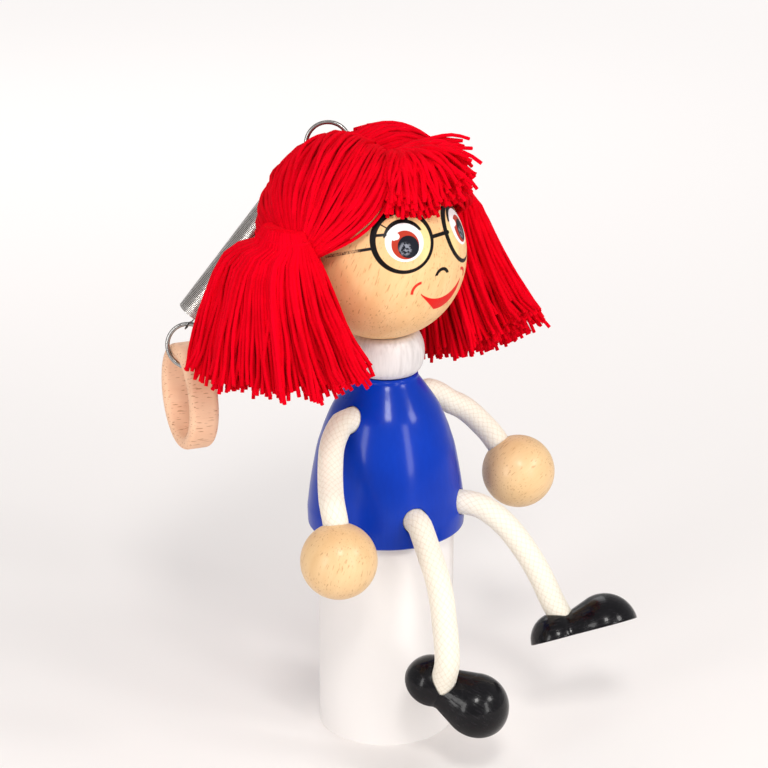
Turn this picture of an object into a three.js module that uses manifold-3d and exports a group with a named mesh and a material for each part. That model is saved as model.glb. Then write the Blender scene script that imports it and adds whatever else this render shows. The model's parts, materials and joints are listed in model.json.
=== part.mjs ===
// Spring puppet: a turned wooden doll with rope limbs that bounces under a wooden ring on a coil spring.
// Millimetres, +Z up. The origin is the middle of the body's flat base, on the shelf that the doll sits on.
// The doll faces -Y, and +X is its left. The legs hang below the base, over the shelf's edge.
import * as THREE from "three";
import { mergeVertices } from "three/addons/utils/BufferGeometryUtils.js";
import Module from "manifold-3d";

const wasm = await Module();
wasm.setup();

// Turned wooden figure
const bodyHeight = 55;
const bodyRadius = 27;
const bodyTopRadius = 10.3;
const collarHeight = 14.15;
const collarRadius = 13.1;
const headRadius = 28.5;
const headSeatRadius = 10;
const neckDowelRadius = 4;
const neckDowelDepth = 12;

// Rope limbs
const ropeRadius = 4.25;
const shoulderHeight = 42;
const shoulderHoleDepth = 9;
const hipHeight = 10;
const hipHoleDepth = 12;
const hipAngle = 26;
const handRadius = 12.7;
const handHoleDepth = 9;
const toeRadius = 11.4;
const heelRadius = 9.2;
const shoeLobeDistance = 17;
const shoeWaistRadius = 8.6;
const ankleFromHeel = 12;
const ankleHoleDepth = 6;
const ankleBackLean = 15;
const ankleSideLean = 15.5;

// Yarn hair
const hairThickness = 7;
const hairFrontThickness = 6.8;
const tieWidth = 22;
const tieDepth = 13.2;
const tieHeight = 3.4;
const tieBand = 1.4;
const pigtailWidth = 76;
const pigtailDepth = 42;
const pigtailBelly = 5.5;
const pigtailLengths = { right: 46, left: 57 };
const fringeLength = 21.5;
const fringeWidth = 34;
const fringeDepth = 29;

// Hanger: screw eye, two split rings, coil spring and wooden ring
const eyeHoleRadius = 2.4;
const eyeWireRadius = 0.8;
const eyeStand = 6.1;
const eyeShankDepth = 10;
const splitRingRadius = 7.5;
const splitRingBand = 1.4;
const springRadius = 4.6;
const springWire = 0.8;
const springLength = 64.4;
const springTurns = 50;
const hookReach = 3.4;
const lowerHookOffset = 1.7;
const hookRadius = 2.2;
const woodenRingRadius = 18.5;
const woodenRingHole = 14;
const woodenRingWidth = 10.2;

// Gaps between pieces that touch or are glued
const seatGap = 0.3;
const softGap = 0.5;
// How far a cutting shape runs past the face that it cuts
const overrun = 2;
// Length of a plane's cutting block, larger than any piece
const blockSize = 8 * headRadius;

// Directions of the hanger, in degrees: the eye's tilt back from the crown,
// and the plane that the chain hangs in
const eyeTilt = 40.5;
const chainAzimuth = 33.6;
const chainSlope = -10.7;
// Leans of the chain's pieces from upright in that plane, backwards
const topRingLean = 23;
const topHookLean = 54.2;
const springLean = 36.1;
// The wooden ring is turned a little against the lower split ring
const woodenRingTurn = 153.5;

const degrees = Math.PI / 180;
const up = new THREE.Vector3(0, 0, 1);
const sides = [
  { name: "right", sign: -1 },
  { name: "left", sign: 1 },
];

// Materials
const blueGloss = new THREE.MeshStandardMaterial({ color: 0x0a35b0, roughness: 0.25, metalness: 0 });
const whitePaint = new THREE.MeshStandardMaterial({ color: 0xefe9e6, roughness: 0.35, metalness: 0 });
const beech = new THREE.MeshStandardMaterial({ color: 0xf0c28e, roughness: 0.45, metalness: 0 });
const paleBeech = new THREE.MeshStandardMaterial({ color: 0xd9ab84, roughness: 0.6, metalness: 0 });
const ecruRope = new THREE.MeshStandardMaterial({ color: 0xf3e6d2, roughness: 0.95, metalness: 0 });
const blackGloss = new THREE.MeshStandardMaterial({ color: 0x0d0d0f, roughness: 0.2, metalness: 0 });
const redYarn = new THREE.MeshStandardMaterial({ color: 0xd8001c, roughness: 0.95, metalness: 0 });
const steel = new THREE.MeshStandardMaterial({ color: 0x8f8d8b, roughness: 0.3, metalness: 1 });

// Solids of closed geometries, and geometries of solids
function solidOf(geometry) {
  const plain = geometry.clone();
  plain.deleteAttribute("normal");
  plain.deleteAttribute("uv");
  const merged = mergeVertices(plain, 1e-4);
  return new wasm.Manifold(
    new wasm.Mesh({
      numProp: 3,
      vertProperties: new Float32Array(merged.attributes.position.array),
      triVerts: new Uint32Array(merged.index.array),
    }),
  );
}

function geometryOf(solid) {
  const mesh = solid.getMesh();
  const geometry = new THREE.BufferGeometry();
  geometry.setAttribute("position", new THREE.BufferAttribute(new Float32Array(mesh.vertProperties), 3));
  geometry.setIndex(new THREE.BufferAttribute(new Uint32Array(mesh.triVerts), 1));
  geometry.computeVertexNormals();
  return geometry;
}

function cut(geometry, ...tools) {
  return geometryOf(tools.reduce((solid, tool) => solid.subtract(solidOf(tool)), solidOf(geometry)));
}

function joined(...geometries) {
  return geometryOf(geometries.map(solidOf).reduce((a, b) => a.add(b)));
}

function common(a, b) {
  return geometryOf(solidOf(a).intersect(solidOf(b)));
}

// A turned shape about +Z from [radius, height] points that start and end on the axis
function turned(points, segments) {
  const profile = points.map(([radius, height]) => new THREE.Vector2(radius, height));
  return new THREE.LatheGeometry(profile, segments).rotateX(Math.PI / 2);
}

// A ring about +Z from a closed section of [radius, height] points
function turnedRing(section, segments) {
  return turned([...section, section[0]], segments);
}

// Points of an ellipse, as a closed section
function ellipseSection(radius, halfWidth, halfHeight, count) {
  return Array.from({ length: count }, (_, i) => {
    const angle = (i / count) * 2 * Math.PI;
    return [radius + halfWidth * Math.cos(angle), halfHeight * Math.sin(angle)];
  });
}

// A cylinder that starts at a point and runs along a direction
function rod(start, direction, length, radius, segments) {
  const geometry = new THREE.CylinderGeometry(radius, radius, length, segments);
  geometry.translate(0, length / 2, 0);
  geometry.applyQuaternion(new THREE.Quaternion().setFromUnitVectors(new THREE.Vector3(0, 1, 0), direction));
  return geometry.translate(start.x, start.y, start.z);
}

// A ball with its poles on Z
function ball(radius, segments, rings) {
  return new THREE.SphereGeometry(radius, segments, rings).rotateX(Math.PI / 2);
}

// A block whose one face lies on a plane, on the side that the normal points to
function blockBeyond(point, normal) {
  const block = new THREE.BoxGeometry(blockSize, blockSize, blockSize);
  block.translate(0, 0, blockSize / 2);
  block.applyQuaternion(new THREE.Quaternion().setFromUnitVectors(up, normal.clone().normalize()));
  return block.translate(point.x, point.y, point.z);
}

// Puts a geometry's X, Y and Z along three unit vectors, and its origin at a point
function framed(geometry, x, y, z, origin) {
  return geometry.applyMatrix4(new THREE.Matrix4().makeBasis(x, y, z).setPosition(origin));
}

const puppet = new THREE.Group();

function add(name, geometry, material) {
  const mesh = new THREE.Mesh(geometry, material);
  mesh.name = name;
  puppet.add(mesh);
  return mesh;
}

// Heights of the turned pieces on the neck dowel
const collarBase = bodyHeight + seatGap;
const headSeat = collarBase + collarHeight + seatGap;
const headHeight = headSeat + Math.sqrt(headRadius ** 2 - headSeatRadius ** 2);
const headCentre = new THREE.Vector3(0, 0, headHeight);
// The ball sits a little off the dowel's axis, as shares of its radius
const headOffsetShares = [-0.036, 0.04, 0];
const ballCentre = headCentre.clone().addScaledVector(new THREE.Vector3(...headOffsetShares), headRadius);

// Body: radius and height shares of the turned bell, from the base's rounded edge to the flat top
const bodyShares = [
  [0.97, 0],
  [1, 0.018],
  [1.004, 0.11],
  [0.996, 0.136],
  [0.944, 0.338],
  [0.881, 0.504],
  [0.822, 0.6],
  [0.778, 0.66],
  [0.681, 0.775],
  [0.556, 0.869],
  [0.422, 0.964],
];
const bodyProfile = bodyShares.map(([r, h]) => [r * bodyRadius, h * bodyHeight]);

// The body's radius at a height, between the profile's points
function bodyRadiusAt(height) {
  const next = bodyProfile.findIndex(([, h]) => h > height);
  const [r0, h0] = bodyProfile[next - 1];
  const [r1, h1] = bodyProfile[next];
  return r0 + ((r1 - r0) * (height - h0)) / (h1 - h0);
}

// A drilled hole's facets lie seatGap outside the rope
const holeSides = 16;
const holeRadius = (ropeRadius + seatGap) / Math.cos(Math.PI / holeSides);
const bodyBlank = turned(
  [[0, 0], ...bodyProfile, [bodyTopRadius, bodyHeight], [0, bodyHeight]],
  40,
);
const bodyHoles = [];
const limbRoots = {};
for (const { name, sign } of sides) {
  const hip = new THREE.Vector3(sign * Math.sin(hipAngle * degrees), -Math.cos(hipAngle * degrees), 0);
  const hipMouth = hip.clone().multiplyScalar(bodyRadiusAt(hipHeight)).setZ(hipHeight);
  const shoulder = new THREE.Vector3(sign, 0, 0);
  const shoulderMouth = shoulder.clone().multiplyScalar(bodyRadiusAt(shoulderHeight)).setZ(shoulderHeight);
  limbRoots[name] = { hip, hipMouth, shoulder, shoulderMouth };
  for (const [mouth, out, depth] of [
    [hipMouth, hip, hipHoleDepth],
    [shoulderMouth, shoulder, shoulderHoleDepth],
  ]) {
    const bottom = mouth.clone().addScaledVector(out, -depth);
    bodyHoles.push(rod(bottom, out, depth + ropeRadius + overrun, holeRadius, holeSides));
  }
}
const neckBore = neckDowelRadius + seatGap;
const dowelBottom = bodyHeight - neckDowelDepth;
const dowelTop = headSeat + neckDowelDepth;
const boreThroughBody = rod(
  new THREE.Vector3(0, 0, dowelBottom - seatGap),
  up,
  neckDowelDepth + seatGap + overrun,
  neckBore,
  16,
);
add("body", cut(bodyBlank, ...bodyHoles, boreThroughBody), blueGloss);

// Neck dowel: glued through the collar into the body and the head
const dowelFoot = new THREE.Vector3(0, 0, dowelBottom);
add("neck_dowel", rod(dowelFoot, up, dowelTop - dowelBottom, neckDowelRadius, 16), beech);

// Collar: a flattened bead, radius and height shares
const collarShares = [
  [0.78, 0],
  [0.88, 0.05],
  [0.96, 0.2],
  [1, 0.45],
  [0.99, 0.65],
  [0.93, 0.86],
  [0.84, 0.96],
  [0.75, 1],
];
const collarSection = collarShares.map(([r, h]) => [r * collarRadius, collarBase + h * collarHeight]);
add(
  "collar",
  turnedRing([[neckBore, collarBase], ...collarSection, [neckBore, collarBase + collarHeight]], 36),
  whitePaint,
);

// Facets of the head, and of the scalp side of the hair that lies on it
const headSegments = 32;
const headRings = 18;

// Head: a ball with a flat where it sits on the collar, and holes for the dowel and the screw eye
const eyeOut = new THREE.Vector3(0, Math.sin(eyeTilt * degrees), Math.cos(eyeTilt * degrees));
const eyeCentre = headCentre.clone().addScaledVector(eyeOut, headRadius + eyeStand);
const shankStart = headRadius - eyeShankDepth;
const shankEnd = headRadius + eyeStand - eyeHoleRadius - eyeWireRadius;
const seatBlock = blockBeyond(new THREE.Vector3(0, 0, headSeat), up.clone().negate());
const dowelHole = rod(
  new THREE.Vector3(0, 0, headSeat - overrun),
  up,
  neckDowelDepth + seatGap + overrun,
  neckBore,
  16,
);
const shankHole = rod(
  headCentre.clone().addScaledVector(eyeOut, shankStart - seatGap),
  eyeOut,
  eyeShankDepth + seatGap + overrun,
  eyeWireRadius + seatGap,
  8,
);
const headBall = ball(headRadius, headSegments, headRings).translate(...ballCentre.toArray());
add("head", cut(headBall, seatBlock, dowelHole, shankHole), beech);

// The chain hangs in one plane through the eye: its normal, and its upward and sideways directions
const chainNormal = new THREE.Vector3(
  Math.cos(chainSlope * degrees) * Math.cos(chainAzimuth * degrees),
  Math.cos(chainSlope * degrees) * Math.sin(chainAzimuth * degrees),
  Math.sin(chainSlope * degrees),
);
const chainUp = up.clone().addScaledVector(chainNormal, -up.dot(chainNormal)).normalize();
const chainSide = new THREE.Vector3().crossVectors(chainNormal, chainUp);
const chainDown = chainUp.clone().negate();

// A direction in the chain's plane, turned from upright towards its side
function inChain(angle) {
  return chainUp
    .clone()
    .multiplyScalar(Math.cos(angle * degrees))
    .addScaledVector(chainSide, Math.sin(angle * degrees));
}

// Screw eye: a wire loop on a shank, its hole facing along the chain's plane,
// so that the split ring passes through
const topRingUp = inChain(-topRingLean);
const ringTangent = new THREE.Vector3().crossVectors(chainNormal, topRingUp);
const eyeAxis = ringTangent.clone().addScaledVector(eyeOut, -ringTangent.dot(eyeOut)).normalize();
const eyeLoop = framed(
  turnedRing(ellipseSection(eyeHoleRadius + eyeWireRadius, eyeWireRadius, eyeWireRadius, 8), 24),
  eyeOut,
  new THREE.Vector3().crossVectors(eyeAxis, eyeOut),
  eyeAxis,
  eyeCentre,
);
const eyeShank = rod(
  headCentre.clone().addScaledVector(eyeOut, shankStart),
  eyeOut,
  shankEnd - shankStart + eyeWireRadius,
  eyeWireRadius,
  8,
);
add("screw_eye", joined(eyeLoop, eyeShank), steel);

// Split rings: two turns of flat wire side by side, as one ring with a waist between the turns
const bandHalf = splitRingBand / 2;
const waistShare = 0.8;
function splitRing(centre, topDirection) {
  const section = [
    [splitRingRadius + bandHalf, -bandHalf],
    [splitRingRadius + bandHalf, -bandHalf * (1 - waistShare)],
    [splitRingRadius + bandHalf * waistShare, 0],
    [splitRingRadius + bandHalf, bandHalf * (1 - waistShare)],
    [splitRingRadius + bandHalf, bandHalf],
    [splitRingRadius - bandHalf, bandHalf],
    [splitRingRadius - bandHalf, -bandHalf],
  ];
  const across = new THREE.Vector3().crossVectors(chainNormal, topDirection);
  return framed(turnedRing(section, 32), topDirection, across, chainNormal, centre);
}

const springDown = inChain(180 + springLean);
const springInward = new THREE.Vector3().crossVectors(springDown, chainNormal);
const topRingCentre = eyeCentre.clone().addScaledVector(topRingUp, splitRingRadius);
const topHook = topRingCentre.clone().addScaledVector(inChain(180 + topHookLean), splitRingRadius);
const springTop = topHook.clone().addScaledVector(springDown, hookReach);
const springBottom = springTop.clone().addScaledVector(springDown, springLength);
const bottomHook = springBottom
  .clone()
  .addScaledVector(springDown, hookReach)
  .addScaledVector(springInward, lowerHookOffset);
const lowerRingCentre = bottomHook.clone().addScaledVector(chainDown, splitRingRadius);
add("top_split_ring", splitRing(topRingCentre, chainUp), steel);
add("lower_split_ring", splitRing(lowerRingCentre, chainUp), steel);

// A wire of one diameter along points, with flat ends, its section carried along without twist
function wireAlong(points, radius, count) {
  const positions = [];
  const indices = [];
  const tangent = (i) =>
    points[Math.min(i + 1, points.length - 1)].clone().sub(points[Math.max(i - 1, 0)]).normalize();
  let side = new THREE.Vector3().crossVectors(tangent(0), up).normalize();
  points.forEach((point, i) => {
    const along = tangent(i);
    side = side.addScaledVector(along, -side.dot(along)).normalize();
    const across = new THREE.Vector3().crossVectors(along, side);
    for (let k = 0; k < count; k++) {
      const angle = (k / count) * 2 * Math.PI;
      const corner = point
        .clone()
        .addScaledVector(side, radius * Math.cos(angle))
        .addScaledVector(across, radius * Math.sin(angle));
      positions.push(corner.x, corner.y, corner.z);
    }
    if (i === 0) return;
    const ring = i * count;
    for (let k = 0; k < count; k++) {
      const next = (k + 1) % count;
      indices.push(ring - count + k, ring - count + next, ring + next);
      indices.push(ring - count + k, ring + next, ring + k);
    }
  });
  const last = (points.length - 1) * count;
  for (let k = 1; k < count - 1; k++) {
    indices.push(0, k + 1, k);
    indices.push(last, last + k, last + k + 1);
  }
  const geometry = new THREE.BufferGeometry();
  geometry.setAttribute("position", new THREE.Float32BufferAttribute(positions, 3));
  geometry.setIndex(indices);
  geometry.computeVertexNormals();
  return geometry;
}

// The least gap of a wire to itself, measured between its points that lie over half a turn apart
function leastGap(points, diameter, skip) {
  let least = Infinity;
  points.forEach((a, i) => {
    for (let j = i + skip; j < points.length; j++) least = Math.min(least, a.distanceTo(points[j]));
  });
  return least - diameter;
}

// Spring: a hook, the coil and a hook, as one wire. A point is along the axis, inward and across the plane.
const stepsPerTurn = 8;
function springPoint(along, inward, across) {
  return springTop
    .clone()
    .addScaledVector(springDown, along)
    .addScaledVector(springInward, inward)
    .addScaledVector(chainNormal, across);
}

// The wire outside the coil, from the coil's last point to the hook's free end.
// The hook lies across the chain's plane, offset inward from the coil's axis.
const hookArcSteps = 7;
const hookArcStart = -10;
const hookArcEnd = 215;
const hookRiseShares = [0.2, 0.5];
function hookPoints(coilEnd, outward, offset, acrossSign) {
  const coilAcross = Math.sqrt(springRadius ** 2 - offset ** 2);
  const at = (reach, across) => springPoint(coilEnd + outward * reach, offset, acrossSign * across);
  const points = hookRiseShares.map((share) =>
    at(hookReach * share, coilAcross + (hookRadius - coilAcross) * share * share),
  );
  for (let i = 0; i <= hookArcSteps; i++) {
    const angle = (hookArcStart + ((hookArcEnd - hookArcStart) * i) / hookArcSteps) * degrees;
    points.push(at(hookReach + hookRadius * Math.sin(angle), hookRadius * Math.cos(angle)));
  }
  return points;
}

// The coil starts a quarter turn from inward, and ends where the lower hook's plane cuts it
const coilStart = -Math.PI / 2;
const coilEnd = springTurns * 2 * Math.PI + Math.acos(lowerHookOffset / springRadius);
const coilSteps = Math.round(((coilEnd - coilStart) / (2 * Math.PI)) * stepsPerTurn);
const coilPoints = Array.from({ length: coilSteps + 1 }, (_, i) => {
  const share = i / coilSteps;
  const angle = coilStart + share * (coilEnd - coilStart);
  return springPoint(share * springLength, springRadius * Math.cos(angle), springRadius * Math.sin(angle));
});
const springPoints = [
  ...hookPoints(0, -1, 0, -1).reverse(),
  ...coilPoints,
  ...hookPoints(springLength, 1, lowerHookOffset, 1),
];
const springGap = leastGap(springPoints, springWire, stepsPerTurn / 2);
console.log("spring's least gap to itself " + springGap.toFixed(2) + " mm");
add("spring", wireAlong(springPoints, springWire / 2, 5), steel);

// Wooden ring: hangs on the lower split ring, whose band its rim straddles
const rimRound = woodenRingWidth / 5;
const rimHalf = woodenRingWidth / 2;
const rimCornerShares = [0, 0.5, 1];
const quarterTurn = Math.PI / 2;
function roundedRimSection() {
  const corners = [
    [woodenRingRadius - rimRound, rimHalf - rimRound],
    [woodenRingHole + rimRound, rimHalf - rimRound],
    [woodenRingHole + rimRound, rimRound - rimHalf],
    [woodenRingRadius - rimRound, rimRound - rimHalf],
  ];
  return corners.flatMap(([radius, height], quarter) =>
    rimCornerShares.map((share) => {
      const angle = (quarter + share) * quarterTurn;
      return [radius + rimRound * Math.cos(angle), height + rimRound * Math.sin(angle)];
    }),
  );
}
const woodenRingAxis = new THREE.Vector3(
  Math.cos(woodenRingTurn * degrees),
  Math.sin(woodenRingTurn * degrees),
  0,
);
const rimDropShare = 0.57;
const rimDrop = (splitRingRadius - bandHalf) * rimDropShare;
const woodenRingCentre = lowerRingCentre
  .clone()
  .addScaledVector(chainDown, rimDrop)
  .addScaledVector(up, -woodenRingHole);
add(
  "wooden_ring",
  framed(
    turnedRing(roundedRimSection(), 36),
    up,
    new THREE.Vector3().crossVectors(woodenRingAxis, up),
    woodenRingAxis,
    woodenRingCentre,
  ),
  paleBeech,
);

// Rope limbs: the free route's points from the mouth of the hole in the body to the hand or the shoe
const ropeRoutes = {
  right_arm: [
    [-22.4, 0, 41.7],
    [-26.6, -0.9, 38.6],
    [-30.2, -2.7, 35.3],
    [-34.6, -6.3, 31],
    [-38.4, -9.9, 27.6],
    [-42.2, -13.8, 25],
    [-44.9, -17.1, 22.8],
  ],
  left_arm: [
    [22.4, -0.1, 41.8],
    [26.3, -1.4, 39.6],
    [29.8, -3.2, 36.6],
    [33.3, -5.4, 34.3],
    [36, -8.3, 31.2],
    [37.7, -12, 27.6],
    [38.4, -14.7, 25.2],
  ],
  right_leg: [
    [-13.3, -27.3, 9.5],
    [-16.3, -33.5, 4],
    [-19.7, -40.4, -2.6],
    [-21.5, -44.2, -9.2],
    [-22.5, -46.2, -15.9],
    [-23.4, -48, -22.5],
    [-23.8, -48.7, -27],
    [-23.6, -48.5, -31.1],
  ],
  left_leg: [
    [13.5, -27.7, 9.8],
    [15.4, -31.6, 8.6],
    [18.2, -37.3, 4.2],
    [20.6, -42.3, -1.8],
    [22.9, -47.1, -9.3],
    [24.7, -50.8, -16.8],
    [25.9, -53.3, -22.6],
  ],
};
// Where the routes end: the middles of the hands, and the mouths of the holes in the shoes
const handCentres = { right: [-48, -22.5, 7.2], left: [41.5, -25, 12.7] };
const handEntries = { right: [-0.2, -0.3, -0.93], left: [0.188, -0.622, -0.76] };
const ankles = { right: [-22.8, -46.8, -35.7], left: [27, -55.5, -27] };

const ropeSection = new THREE.Shape(
  Array.from({ length: 10 }, (_, i) => {
    const angle = (i / 10) * 2 * Math.PI;
    return new THREE.Vector2(ropeRadius * Math.cos(angle), ropeRadius * Math.sin(angle));
  }),
);

function addRope(name, mouth, out, holeDepth, route, end, entry, endDepth) {
  const curve = new THREE.CatmullRomCurve3(
    [
      mouth.clone().addScaledVector(out, seatGap - holeDepth),
      mouth.clone().addScaledVector(out, -holeDepth / 2),
      mouth.clone(),
      ...route.map((p) => new THREE.Vector3(...p)),
      end.clone(),
      end.clone().addScaledVector(entry, endDepth / 2),
      end.clone().addScaledVector(entry, endDepth - seatGap),
    ],
    false,
    "centripetal",
  );
  add(name, new THREE.ExtrudeGeometry(ropeSection, { extrudePath: curve, steps: 18 }), ecruRope);
  console.log(name + " is " + curve.getLength().toFixed(1) + " mm long");
}

// Hands: balls drilled along the rope's last stretch
for (const { name } of sides) {
  const { shoulder, shoulderMouth } = limbRoots[name];
  const centre = new THREE.Vector3(...handCentres[name]);
  const entry = new THREE.Vector3(...handEntries[name]).normalize();
  const end = centre.clone().addScaledVector(entry, -handRadius);
  const hand = ball(handRadius, 20, 14).translate(centre.x, centre.y, centre.z);
  const holeMouth = end.clone().addScaledVector(entry, -overrun);
  const hole = rod(holeMouth, entry, handHoleDepth + overrun, holeRadius, holeSides);
  add(name + "_hand", cut(hand, hole), beech);
  addRope(
    name + "_arm_rope",
    shoulderMouth,
    shoulder,
    shoulderHoleDepth,
    ropeRoutes[name + "_arm"],
    end,
    entry,
    handHoleDepth,
  );
}

// Shoes: a turned peanut cut flat through its axis, with the rope's hole behind its waist.
// Each turns about its toe line, tips its toe and turns outwards, in degrees.
const shoeAngles = {
  right: { yaw: 27.6, pitch: -26, roll: -33.7 },
  left: { yaw: 48.5, pitch: 13.3, roll: 26.4 },
};
const lobeSteps = 5;
const heelArcEnd = 118;
const toeArcStart = 66;

// Profile of the shoe about its long line: heel lobe, waist and toe lobe, from the heel's end at zero
function shoeProfile() {
  const heelCentre = heelRadius;
  const toeCentre = heelRadius + shoeLobeDistance;
  const lobe = (centre, radius, from, to) =>
    Array.from({ length: lobeSteps + 1 }, (_, i) => {
      const angle = (from + ((to - from) * i) / lobeSteps) * degrees;
      return [radius * Math.sin(angle), centre - radius * Math.cos(angle)];
    });
  const waist = [shoeWaistRadius, heelCentre + shoeLobeDistance / 2];
  const heelLobe = lobe(heelCentre, heelRadius, 0, heelArcEnd);
  return [...heelLobe, waist, ...lobe(toeCentre, toeRadius, toeArcStart, 180)];
}

// The height of the shoe's top above its sole at a distance from the heel's end
function shoeTopAt(distance) {
  const profile = shoeProfile();
  const next = profile.findIndex(([, d]) => d > distance);
  const [h0, d0] = profile[next - 1];
  const [h1, d1] = profile[next];
  return h0 + ((h1 - h0) * (distance - d0)) / (d1 - d0);
}

for (const { name, sign } of sides) {
  const { hip, hipMouth } = limbRoots[name];
  const end = new THREE.Vector3(...ankles[name]);
  const { yaw, pitch, roll } = shoeAngles[name];
  const turn = new THREE.Matrix4()
    .makeRotationZ(yaw * degrees)
    .multiply(new THREE.Matrix4().makeRotationX(-pitch * degrees))
    .multiply(new THREE.Matrix4().makeRotationY(roll * degrees));
  const toe = new THREE.Vector3(0, -1, 0).transformDirection(turn);
  const soleUp = up.clone().transformDirection(turn);
  const across = new THREE.Vector3().crossVectors(soleUp, toe);
  // The hole leans back towards the heel and a little outwards, so the rope goes in forwards
  const entry = soleUp
    .clone()
    .negate()
    .addScaledVector(toe, Math.tan(ankleBackLean * degrees))
    .addScaledVector(across, sign * Math.tan(ankleSideLean * degrees))
    .normalize();
  const heelEnd = end
    .clone()
    .addScaledVector(toe, -ankleFromHeel)
    .addScaledVector(soleUp, -shoeTopAt(ankleFromHeel));
  const whole = framed(turned(shoeProfile(), 24), across, soleUp, toe, heelEnd);
  const sole = blockBeyond(heelEnd, soleUp.clone().negate());
  const holeMouth = end.clone().addScaledVector(entry, -overrun);
  const hole = rod(holeMouth, entry, ankleHoleDepth + overrun, holeRadius, holeSides);
  add(name + "_shoe", cut(whole, sole, hole), blackGloss);
  addRope(
    name + "_leg_rope",
    hipMouth,
    hip,
    hipHoleDepth,
    ropeRoutes[name + "_leg"],
    end,
    entry,
    ankleHoleDepth,
  );
}

// Hair: a thick pad of yarn over each half of the head, parted down the middle and drawn to a tie at each
// side. The pad is the common part of two balls, of which the one set back thins it towards the face.
// Their middles and the tie's are out, back and up from the head's middle, as shares of its radius.
const scalpClear = headRadius + seatGap;
const padBalls = [
  { radius: headRadius + hairThickness, shares: [0.176, 0.193, 0.265] },
  { radius: headRadius + hairFrontThickness, shares: [0.281, 0.492, 0.244] },
];
const tieShares = [1.421, 0.281, 0.406];

// The face's edge on one side: a plane through the parting, the temple and the tie
const partingFrontShares = [0, -0.207, 1.269];
const templeShares = [0.797, -0.507, 0.7];
const tieFrontShares = [1.139, 0.01, 0.203];
// The back's lower edge: a plane through the head's middle, the tie and the nape
const tieBackShares = [1.335, 0.352, 0.317];
const napeShares = [0, 1.159, -0.387];
function onHead([x, y, z], sign) {
  return new THREE.Vector3(sign * x, y, z).multiplyScalar(headRadius).add(headCentre);
}
function planeNormal(a, b, c, outward) {
  const normal = b.clone().sub(a).cross(c.clone().sub(a)).normalize();
  return normal.dot(outward) < 0 ? normal.negate() : normal;
}

// Space kept clear for the eye, the top split ring and the spring, also while the ring tips forwards
const ringClear = splitRingRadius + splitRingBand + softGap;
const tippingAngle = 15;
const tippedCentre = eyeCentre.clone().addScaledVector(inChain(tippingAngle - topRingLean), splitRingRadius);
const eyeClear = eyeHoleRadius + 2 * eyeWireRadius + softGap;
const springClear = springRadius + springWire / 2 + softGap;
const hangerClearances = [
  ball(ringClear, 16, 10).translate(...topRingCentre.toArray()),
  ball(ringClear, 16, 10).translate(...tippedCentre.toArray()),
  rod(headCentre, eyeOut, headRadius + eyeStand + eyeClear, eyeClear, 16),
  rod(topHook, springDown, springLength, springClear, 16),
];

// A pigtail's half width and the depth below its tie, as shares, from the neck in the tie to the cut ends
const pigtailShares = [
  [0.24, -0.09],
  [0.24, 0.05],
  [0.5, 0.12],
  [0.6, 0.26],
  [0.7, 0.45],
  [0.81, 0.62],
  [0.92, 0.78],
  [1, 0.92],
  [1, 1],
  [0.8, 1.05],
  [0.4, 1.08],
];
// How far a pigtail's cut end stands out and forward from below its tie
const pigtailSplayShares = { out: 0.14, forward: 0.1 };
// The yarn is cut along a plane that rises to the front by an angle, at a share of the length below the tie
const pigtailTrims = { right: { share: 0.945, rise: 6 }, left: { share: 1.08, rise: 29.5 } };
const bellyStartShare = 0.06;

// A pigtail bellies back below its tie, by nothing at the tie and at the cut ends
function bellyAt(depthShare) {
  const share = Math.min(Math.max((depthShare - bellyStartShare) / (1 - bellyStartShare), 0), 1);
  return pigtailBelly * Math.sin(Math.PI * Math.sqrt(share));
}

function pigtailGeometry(sign, length, tie, grow) {
  const profile = pigtailShares.map(([w, d]) => [w * (pigtailWidth / 2) + grow, -d * length]);
  profile[0][1] += grow;
  const bottom = profile[profile.length - 1][1] - grow;
  const blank = turned([[0, bottom], ...profile.reverse(), [0, profile[profile.length - 1][1]]], 28);
  blank.scale(pigtailDepth / pigtailWidth, 1, 1);
  const corners = blank.getAttribute("position");
  for (let i = 0; i < corners.count; i++) {
    corners.setY(i, corners.getY(i) + bellyAt(-corners.getZ(i) / length));
  }
  const lean = new THREE.Matrix4().set(
    1, 0, -sign * pigtailSplayShares.out, 0,
    0, 1, pigtailSplayShares.forward, 0,
    0, 0, 1, 0,
    0, 0, 0, 1,
  );
  return blank.applyMatrix4(lean).translate(tie.x, tie.y, tie.z);
}

// The tie: a band of yarn wound round the pigtail's neck
function tieGeometry(tie, grow) {
  const band = turnedRing(
    ellipseSection(tieWidth / 2 - tieBand / 2 - softGap / 2, tieBand / 2 + grow, tieHeight / 2 + grow, 6),
    20,
  );
  return band.scale(tieDepth / tieWidth, 1, 1).translate(tie.x, tie.y, tie.z);
}

// One half's pad before its openings, grown by a gap
function padBlank(sign, grow) {
  const [outer, front] = padBalls.map(({ radius, shares }) =>
    ball(radius + grow, 32, 20).translate(...onHead(shares, sign).toArray()),
  );
  return common(outer, front);
}

// The plane of the face's edge on one side
function faceEdge(sign) {
  const parting = onHead(partingFrontShares, sign);
  const temple = onHead(templeShares, sign);
  const tieFront = onHead(tieFrontShares, sign);
  return { parting, normal: planeNormal(parting, temple, tieFront, up.clone().negate()) };
}

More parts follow.
